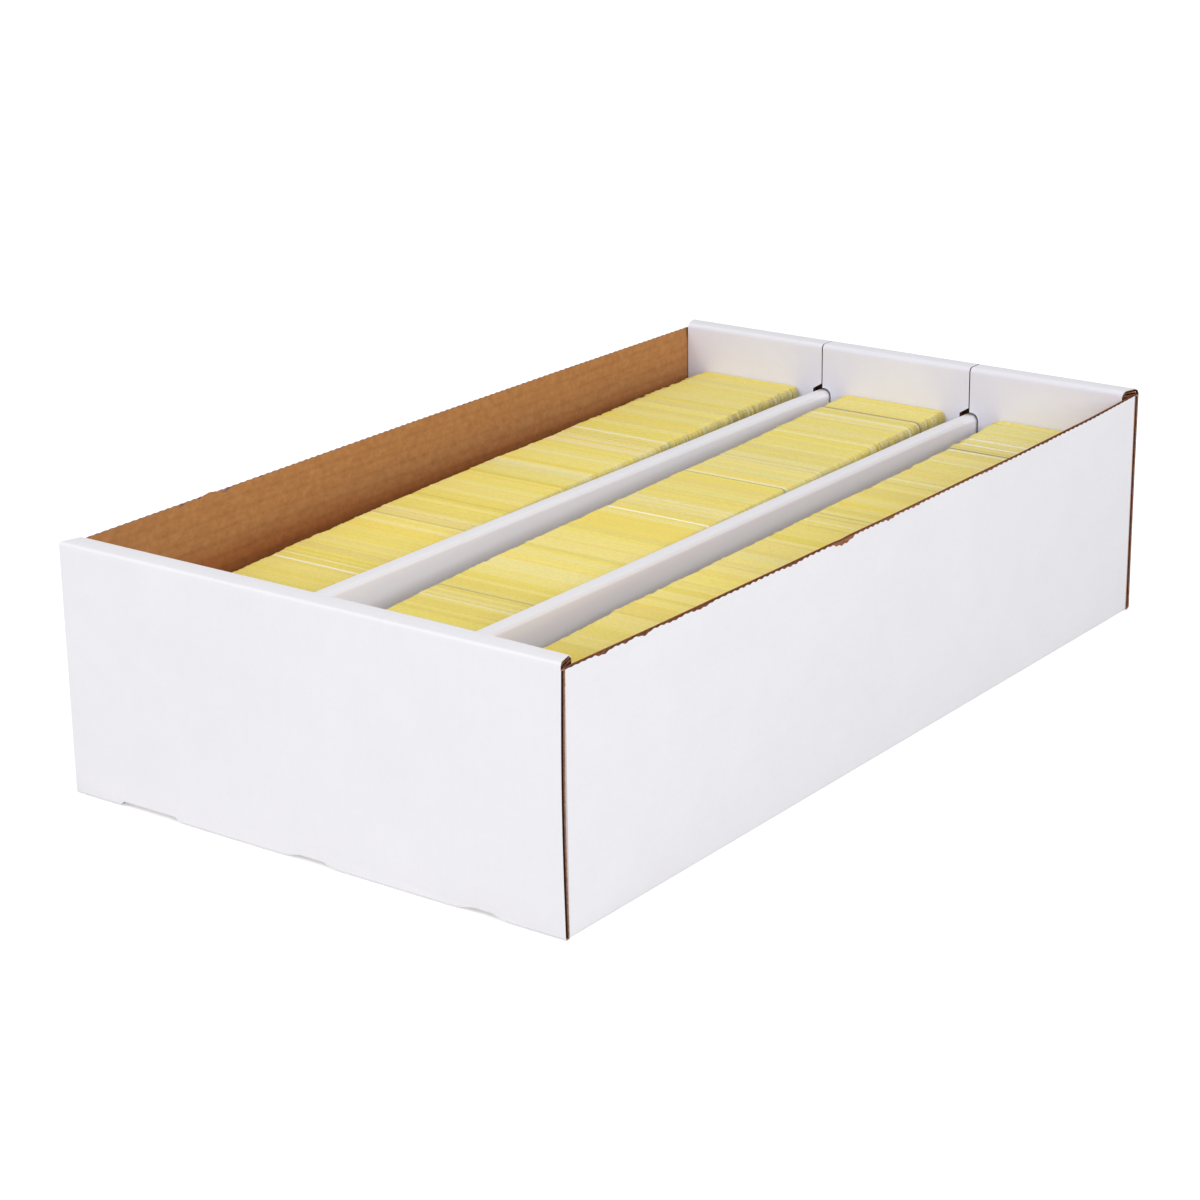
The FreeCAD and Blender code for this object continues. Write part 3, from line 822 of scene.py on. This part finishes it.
def model_flap(node, out, tab_place, slit_half, settle, radius, squeeze):
    """A flap. slit_half is half the gap left at its slits, settle how far the band has sunk.

    radius is that of the folds, squeeze how much the band's right end is pressed together.
    """
    low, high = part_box(node)
    sides = [low.x, high.x]
    slits = {}
    for number, edge in enumerate(sides):
        for slit in SLIT_PLACES:
            if abs(edge - slit) < SLIT_REACH:
                slits[slit] = -1 if edge < slit else 1
                sides[number] = slit + slits[slit] * slit_half
    low, high = Vector((sides[0], low.y, low.z)), Vector((sides[1], high.y, high.z))
    outside, inside = (high.y, low.y) if out > 0 else (low.y, high.y)
    width = high.y - low.y
    piece = fold_board(node + "_board", low, high, X)
    pick("EDGE", where_meet(Y, outside, Z, low.z))
    bpy.ops.transform.translate(value=(0, 0, STUB_FOOT - low.z))
    thicken(piece, (white_by_width, kraft_by_width, raw_edge))
    round_folds(low, high, X, radius)

    leg = sorted((inside - out * OVERRUN, inside + out * (BOARD + OVERRUN)))
    gone = [((low.x - OVERRUN, -OVERRUN), (tab_place - TAB_WIDTH / 2, BOARD)),
            ((tab_place + TAB_WIDTH / 2, -OVERRUN), (high.x + OVERRUN, BOARD))]
    if low.x < -WALL_FACE:
        gone.append(((low.x - OVERRUN, -OVERRUN), (LEG_ROOM - WALL_FACE, BAND_FOOT)))
    if high.x > WALL_FACE:
        gone.append(((WALL_FACE - LEG_ROOM, -OVERRUN), (high.x + OVERRUN, BAND_FOOT)))
    for (x_low, z_low), (x_high, z_high) in gone:
        cut_with(piece, start_block("cutter", (x_low, leg[0], z_low), (x_high, leg[1], z_high)))
    for slit, side in slits.items():
        cut_notch(piece, slit, side, leg)
    bpy.ops.object.mode_set(mode="EDIT")
    slice_across(Z, BAND_FOOT)
    bpy.ops.object.mode_set(mode="OBJECT")

    places = corners_of(piece)
    band, pressed = pressing(places[:, X], places[:, Z], high)
    places[:, Y] += out * squeeze * pressed * np.abs(places[:, Y] - outside) / width
    places[:, Z] -= band * settle
    put_corners(piece, places)
    for edge, side, end in zip(sides, (-1, 1), (cad_low.x, cad_high.x)):
        if abs(edge - end) < HAIR:
            bpy.ops.object.mode_set(mode="EDIT")
            open_raw_edge(X, end, side)
            bpy.ops.object.mode_set(mode="OBJECT")
    places = np.clip(corners_of(piece), low, high)
    inward = np.abs(places[:, Y] - outside) / width
    over_wall = np.clip((np.abs(places[:, X]) - WALL_FACE + LEG_ROOM) / HAIR, 0, 1)
    places[:, X] -= np.sign(places[:, X]) * (cad_high.x - WALL_FACE + LEG_ROOM) * inward * over_wall
    put_corners(piece, places)
    piece.data.materials.append(raw_gap_shade)
    piece.data.materials.append(white_flaps_shaded)

    def below_skin(place):
        """How deep a place lies under the band's rounded outer surface."""
        pressed = pressing(place.x, place.z, high)[1]
        from_out = abs(place.y - outside) / (1 - squeeze * pressed / width)
        from_top = high.z - settle - place.z
        depths = []
        for from_side in (from_out, width - from_out):
            if max(from_side, from_top) < radius:
                depths.append(radius - math.hypot(radius - from_side, radius - from_top))
            else:
                depths.append(min(from_side, from_top))
        return min(depths)

    def choose(place, normal):
        # the legs' inner faces take the darker, bluer white: painted shade
        if normal.y * out < -0.7 and abs(place.y - inside) < BOARD / 2:
            return FLAP_FACE
        # the legs' cut faces, the far slits and the gaps in the band's raw ends take the dark brown of painted
        # shade
        if abs(normal.y) < 0.5 and place.z < STUB_FOOT - HAIR:
            return GAP_SHADE
        if any(abs(place.x - slit) < slit_half + HAIR for slit in slits):
            return GAP_SHADE if out > 0 else OUTSIDE
        in_end = cad_high.x - GAP_DEPTH - LEG_ROOM - HAIR < abs(place.x) < cad_high.x - LEG_ROOM
        in_gap = in_end and abs(normal.x) < 0.5 and below_skin(place) > IN_GAP * LINER
        return GAP_SHADE if in_gap else None

    keep_finishes(piece, choose)
    stand_for(piece, node)


FLAP_WAYS = {  # half the slits' gap, how far the band has sunk, the folds' radius, the squeeze
    "near": ((0.03, 0.05, 1.4, 0), (0.03, 0.05, 1.4, 0), (0.03, 0.1, 1.4, 1.8)),
    "far": ((0.3, 0.1, 2.4, 0), (0.3, 0, 2.4, 0), (0.3, 0, 2.4, 0)),
}
ROWS = ("left", "middle", "right")
for end, out in ENDS.items():
    for row, tab_place, ways in zip(ROWS, TAB_PLACES, FLAP_WAYS[end]):
        model_flap(f"{end}_{row}_flap", out, tab_place, *(way * MM for way in ways))

# %% [markdown]
# ## The dividers
# Two pleats of the partition stand between the rows: a sheet that goes up, over a flat top with
# soft shoulders and down again. They are folded like the flaps. Real pleats are never quite
# straight, so the pleat sways sideways in a slow wave, and its top is rounder at the far end.

# %% Model a divider
SHOULDER_RADIUS = 2.3 * MM
ROUND_FROM = 190 * MM
CROWN_HEIGHT, CROWN_DROP = 6 * MM, 2.6 * MM  # how much of the top gets round there, and how round
SWAY_LENGTH = 70 * MM
PLEAT_TOP = 3  # the number of the finish on its top


def model_divider(node, sway, shift):
    """A divider. sway is the height of its slow wave, shift moves its top to the right."""
    low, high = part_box(node)
    piece = fold_board(node + "_pleat", low, high, Y)
    # the sides wear the brighter white, painted light; the top, finish 3, keeps the walls' white
    thicken(piece, (white_pleats_lit, kraft_by_height, raw_edge, white_by_height))
    round_folds(low, high, Y, SHOULDER_RADIUS)
    places = corners_of(piece)
    half = (high.x - low.x) / 2
    off_middle = (places[:, X] - (low.x + high.x) / 2) / half
    far_share = np.clip((places[:, Y] - ROUND_FROM) / (high.y - ROUND_FROM), 0, 1)
    crown = np.clip((places[:, Z] - high.z + CROWN_HEIGHT) / CROWN_HEIGHT, 0, 1)
    places[:, Z] -= CROWN_DROP * far_share**2 * off_middle**2 * crown
    bow = np.cos(places[:, Y] / high.y * math.pi / 2)
    places[:, X] += (sway * bow * np.sin(places[:, Y] / SWAY_LENGTH) + shift * bow) * places[:, Z] / high.z
    put_corners(piece, places)

    def choose(place, normal):
        return PLEAT_TOP if normal.z > 0.6 and place.z > high.z - BOARD else None

    keep_finishes(piece, choose)
    stand_for(piece, node)


model_divider("left_divider", sway=0.35 * MM, shift=0.5 * MM)
model_divider("right_divider", sway=-0.3 * MM, shift=0.5 * MM)

# %% [markdown]
# ## Boards that stay as the CAD made them
# The floor, the strips under the cards and the flaps inside the double ends are plain boards that
# hardly show. Their shape is right already, so they keep their CAD mesh and only get paper on it:
# white where the sheet's outside is, kraft on its inside, raw brown on the cuts.

# %% Dress the hidden boards
def dress_cad_board(node, white_side):
    """Gives a CAD board white paper where its faces look along white_side, kraft on the other."""
    board = frame["nodes"][node]
    board.data.materials.clear()
    for finish in (white_by_width, kraft_by_width, raw_edge):
        board.data.materials.append(finish)
    for face in board.data.polygons:
        facing = face.normal.dot(white_side)
        face.material_index = OUTSIDE if facing > 0.5 else INSIDE if facing < -0.5 else CUT
    print(node, "keeps its", len(board.data.polygons), "CAD faces")


dress_cad_board("floor_panel", Vector((0, 0, -1)))
for row in ROWS:
    dress_cad_board(f"{row}_row_floor", Vector((0, 0, 1)))
for end, out in ENDS.items():
    for side in ("left", "right"):
        dress_cad_board(f"{end}_{side}_corner_flap", Vector((0, out, 0)))

# %% [markdown]
# ## The cards
# Some thirteen hundred cards stand in each row, and only their thin yellow edges show. A card is
# modelled once, with rounded corners and few faces, and an Array copies it through a pack. Then
# each copy is set down a little differently in code: its height, its sideways place and its
# tint. A striped texture on a block would look the same from above, but not at the ragged ends.

# %% Card finish
CARD_GRAIN = 700


def card_finish():
    """Coated card: the tint of each card comes from an attribute on its faces."""
    finish, shader = new_finish("card_edges", 0.55)
    tree = finish.node_tree
    tint = add_node(tree, "ShaderNodeAttribute", {"attribute_name": "card_tint"})
    place = add_node(tree, "ShaderNodeTexCoord").outputs["Object"]
    grain = add_noise(tree, place, CARD_GRAIN, 3, 0.6)
    tones = ramp_colour(tree, grain, (0.3, screen_colour(246, 245, 242)), (0.6, WHITE))
    feed(tree, shader.inputs["Base Color"], mix_colours(tree, 1.0, tint.outputs["Color"], tones, "MULTIPLY"))
    return finish


card_stock = card_finish()
print("card finish", card_stock.name)

# %% Model one card
CARD_WIDTH, CARD_HEIGHT = 63.5 * MM, 88.9 * MM
CARD_CORNER = 3.0 * MM
CARD_PITCH = 0.31 * MM
CARD_THICKNESS = 0.305 * MM
CORNER_STEPS = 3


def model_card():
    """One card, its foot at the origin, its width along X and its thickness along Y."""
    card = start_block("card", (-CARD_WIDTH / 2, 0, 0), (CARD_WIDTH / 2, CARD_THICKNESS, CARD_HEIGHT))
    round_edges(lambda edge: runs_along(edge, Y), CARD_CORNER, CORNER_STEPS)
    bpy.ops.object.mode_set(mode="OBJECT")
    return card


pattern_card = model_card()
print("one card has", len(pattern_card.data.polygons), "faces")

# %% Tints of the cards in a row
YELLOWS = np.array([screen_colour(*tone)[:3] for tone in (
    (242, 227, 136), (245, 231, 147), (238, 222, 132), (243, 225, 126), (241, 230, 156), (238, 223, 132))])
OFTEN = (0.3, 0.24, 0.16, 0.14, 0.1, 0.06)
RUN_ENDS = 0.12  # the chance that a run of one yellow ends with a card
BLUE_SPREAD, TINT_SPREAD = 0.12, 0.015  # between runs and between cards
PALE_CARD = np.array(screen_colour(252, 252, 244)[:3])
DARK_CARD = np.array(screen_colour(150, 148, 138)[:3])
# painted shade: the cards' broad faces are a little darker than their edges
FACE_SHADE = np.array((0.95, 0.94, 0.9))
# the sides' grey is partly the card stock's grey core and partly painted shade in the gaps between staggered
# cards; the left sides, towards the wall, are darker still, painted shade
RIGHT_TONE = np.array(screen_colour(176, 176, 168)[:3])
LEFT_SHADE_TONE = np.array(screen_colour(120, 110, 86)[:3])
RIGHT_GREY, LEFT_GREY = 0.7, 0.85  # how much of those tones shows on the cards' sides
SIDE_FROM, SIDE_SPAN = 0.3, 0.4  # where a round corner turns from the edge's tint to the side's
NEAR_PACK_SHADE = np.array((0.89, 0.88, 0.8))  # painted shade: the near packs lie under the near band and are darker
NEAR_UNTIL, NEAR_REACH = -90 * MM, 80 * MM
# Lines that stand out in a row: (place along the row and width in mm, how pale or dark)
PALE_LINES = {
    "left": ((-138, 1.4, 0.9), (-131.5, 0.9, 0.5), (-74, 4, 0.2), (36, 5, 0.2), (59, 3, 0.2),
             (105, 2.2, 0.55)),
    "middle": ((-142.5, 1.6, 1.0), (2, 1.8, 0.95), (23.5, 1.5, 0.4), (72, 2.8, 0.36), (103.5, 1.8, 0.35),
               (157.5, 1.8, 0.4), (198, 2.6, 0.42)),
    "right": ((35.5, 1.6, 0.4), (114.5, 2.5, 0.3), (154, 3, 0.25), (175.5, 1.8, 0.7), (188.5, 1.8, 0.9),
              (198.5, 1.8, 1.0)),
}
DARK_LINES = {
    "left": ((-64.5, 1.8, 0.3), (-31, 0.7, 0.3)),
    "middle": ((-129.5, 1.2, 0.5), (70.5, 1.0, 0.7), (210.5, 1.4, 0.75)),
    "right": ((43, 1.0, 0.4), (48, 1.2, 0.45), (178.2, 1.3, 1.0)),
}
PALER = {"left": 0.01, "middle": 0.04, "right": 0.05}  # the rows on the right have paler cards


def row_tints(row, tops, chance):
    """A colour for each card of a row: runs of one yellow, small differences, the lines, and painted shade on the
    near packs.
    """
    tints = np.empty((len(tops), 3))
    start = 0
    while start < len(tops):
        run = int(chance.geometric(RUN_ENDS))
        tints[start : start + run] = YELLOWS[chance.choice(len(YELLOWS), p=OFTEN)]
        tints[start : start + run, 2] *= chance.normal(1.0, BLUE_SPREAD)
        start += run
    tints *= chance.normal(1.0, TINT_SPREAD, (len(tops), 1))
    tints += (PALE_CARD - tints) * PALER[row]
    for lines, tone in ((PALE_LINES, PALE_CARD), (DARK_LINES, DARK_CARD)):
        for place, width, strength in lines[row]:
            struck = np.abs(tops - place * MM) < width * MM / 2
            tints[struck] += (tone - tints[struck]) * strength
    # painted shade on the near packs, fading out along the row
    near = np.clip((NEAR_UNTIL - tops) / NEAR_REACH, 0, 1)[:, None]
    return np.clip(tints * (1 - near + near * NEAR_PACK_SHADE), 0, 1)


print("cards in", len(YELLOWS), "yellows")

# %% Stack a pack
lift_axes = {joint["child"]: Vector(joint["axis"]) for joint in frame["joints"]}
WANDER = 0.05  # how far, in mm, a card strays from the one before it
GROUP_ENDS, CARD_STRAY = 0.25, 0.5  # cards lie in groups; both groups and cards stray sideways
SIDE_ROOM = 1.6  # the furthest that a card strays, in mm
STAND_SPREAD = 0.06  # how unevenly the cards stand, in mm
LIGHT_ENDS, SIDE_LIGHT = 0.3, (0.45, 1.4)  # groups of sides painted lighter and darker, as light and shade on staggered cards


def measure_pack(node):
    """How a pack stands: its lean, the place and width centre of its first and last card."""
    lean = lift_axes[body_of[node]].normalized()
    through = np.array((0, lean.z, -lean.y))
    places = corners_of(frame["nodes"][node])
    depth = places @ through
    near, far = depth.min(), depth.max()
    first, last = places[depth < near + HAIR], places[depth > far - HAIR]
    foot = places[:, Z].min()
    return {
        "lean": lean,
        "through": through,
        "count": int((far - near) / CARD_PITCH),
        "depths": (near, far),
        "foot": foot,
        "top": foot + CARD_HEIGHT * lean.z,
        "centres": tuple((end[:, X].min() + end[:, X].max()) / 2 for end in (first, last)),
    }


def stack_pack(node, stand, rise, ragged, tints, chance):
    """Copies the card through a pack, sets each down by itself and colours it.

    rise is how much higher the last card lies than the first, ragged how unevenly their sides lie.
    """
    clear_selection()
    pack = pattern_card.copy()
    pack.data = pattern_card.data.copy()
    pack.name = node + "_cards"
    scene.collection.objects.link(pack)
    count = stand["count"]
    apply_modifier(pack, "ARRAY", count=count, use_relative_offset=False, use_constant_offset=True,
                   constant_offset_displace=(0, 0, 0))
    cards = corners_of(pack).reshape(count, -1, 3)
    steps = np.linspace(0, 1, count)
    near, far = stand["depths"]
    depth = near + (far - near - CARD_THICKNESS) * steps
    lean, through = stand["lean"], stand["through"]
    foot_y = (depth + stand["foot"] * lean.y) / lean.z
    wander = np.cumsum(chance.normal(0, WANDER, count))
    wander -= np.linspace(wander[0], wander[-1], count)
    centre = stand["centres"][0] + (stand["centres"][1] - stand["centres"][0]) * steps
    groups = np.repeat(chance.normal(0, CARD_STRAY, count), chance.geometric(GROUP_ENDS, count))[:count]
    stray = wander + ragged * (groups + chance.normal(0, CARD_STRAY, count))
    sideways = centre + np.clip(stray, -SIDE_ROOM, SIDE_ROOM) * MM
    height = rise * steps + CARD_THICKNESS * lean.y + np.abs(chance.normal(0, STAND_SPREAD, count)) * MM
    placed = np.empty_like(cards)
    placed[..., X] = cards[..., X] + sideways[:, None]
    up = cards[..., Z] + height[:, None]
    placed[..., Y] = foot_y[:, None] + cards[..., Y] * through[Y] + up * lean.y
    placed[..., Z] = stand["foot"] + cards[..., Y] * through[Z] + up * lean.z
    put_corners(pack, placed)
    side_light = np.repeat(chance.uniform(*SIDE_LIGHT, count), chance.geometric(LIGHT_ENDS, count))[:count]
    colour_cards(pack, count, tints, side_light, ragged)
    stand_for(pack, node)


def colour_cards(pack, count, tints, side_light, ragged):
    """Writes the tint attribute: edges take the card's tint, faces are a little darker as painted shade, the sides
    are greyer.

    side_light paints each card's sides lighter or darker, as light and shade on staggered cards, and more of the
    grey shows on a ragged pack.
    """
    normals = np.array([face.normal for face in pattern_card.data.polygons])
    colours = np.broadcast_to(tints[:, None, :], (count, len(normals), 3)).copy()
    colours[:, np.abs(normals[:, Y]) > 0.9] *= FACE_SHADE
    for side, tone, grey in ((-1, LEFT_SHADE_TONE, LEFT_GREY), (1, RIGHT_TONE, RIGHT_GREY * ragged)):
        share = np.clip((side * normals[:, X] - SIDE_FROM) / SIDE_SPAN, 0, 1)[None, :, None] * grey
        colours += (tone * side_light[:, None, None] - colours) * share
    layer = pack.data.attributes.new("card_tint", "FLOAT_COLOR", "FACE")
    full = np.ones((count * len(normals), 4))
    full[:, :3] = colours.reshape(-1, 3)
    layer.data.foreach_set("color", full.ravel())
    pack.data.materials.clear()
    pack.data.materials.append(card_stock)


# %% Fill the rows
PACKS = 6
FIRST_SEED = 11
RISE_SHARE = 0.85  # how much of the step up to the next pack is evened out inside a pack
RAGGED = {
    "left": (0.4, 0.4, 0.4, 0.4, 0.7, 1.1),
    "middle": (0.4, 0.4, 0.4, 0.4, 0.45, 0.75),
    "right": (0.4, 0.4, 0.4, 0.4, 0.45, 0.75),
}


def fill_row(row, seed):
    """Stacks a row's packs from the near end to the far end."""
    chance = np.random.default_rng(seed)
    nodes = [f"{row}_row_pack_{number}" for number in range(1, PACKS + 1)]
    stands = [measure_pack(node) for node in nodes]
    tops = []
    for stand in stands:
        near, far = stand["depths"]
        depths = np.linspace(near, far, stand["count"])
        foot_y = (depths + stand["foot"] * stand["lean"].y) / stand["lean"].z
        tops.append(foot_y + CARD_HEIGHT * stand["lean"].y)
    tints = row_tints(row, np.concatenate(tops), chance)
    used = 0
    for number, (node, stand) in enumerate(zip(nodes, stands)):
        ahead = stands[min(number + 1, PACKS - 1)]
        rise = RISE_SHARE * (ahead["top"] - stand["top"]) / stand["lean"].z
        pack_tints = tints[used : used + stand["count"]]
        stack_pack(node, stand, rise, RAGGED[row][number], pack_tints, chance)
        used += stand["count"]
    print(row, "row holds", used, "cards")


for seed, row in enumerate(ROWS, FIRST_SEED):
    fill_row(row, seed)
bpy.data.objects.remove(pattern_card)
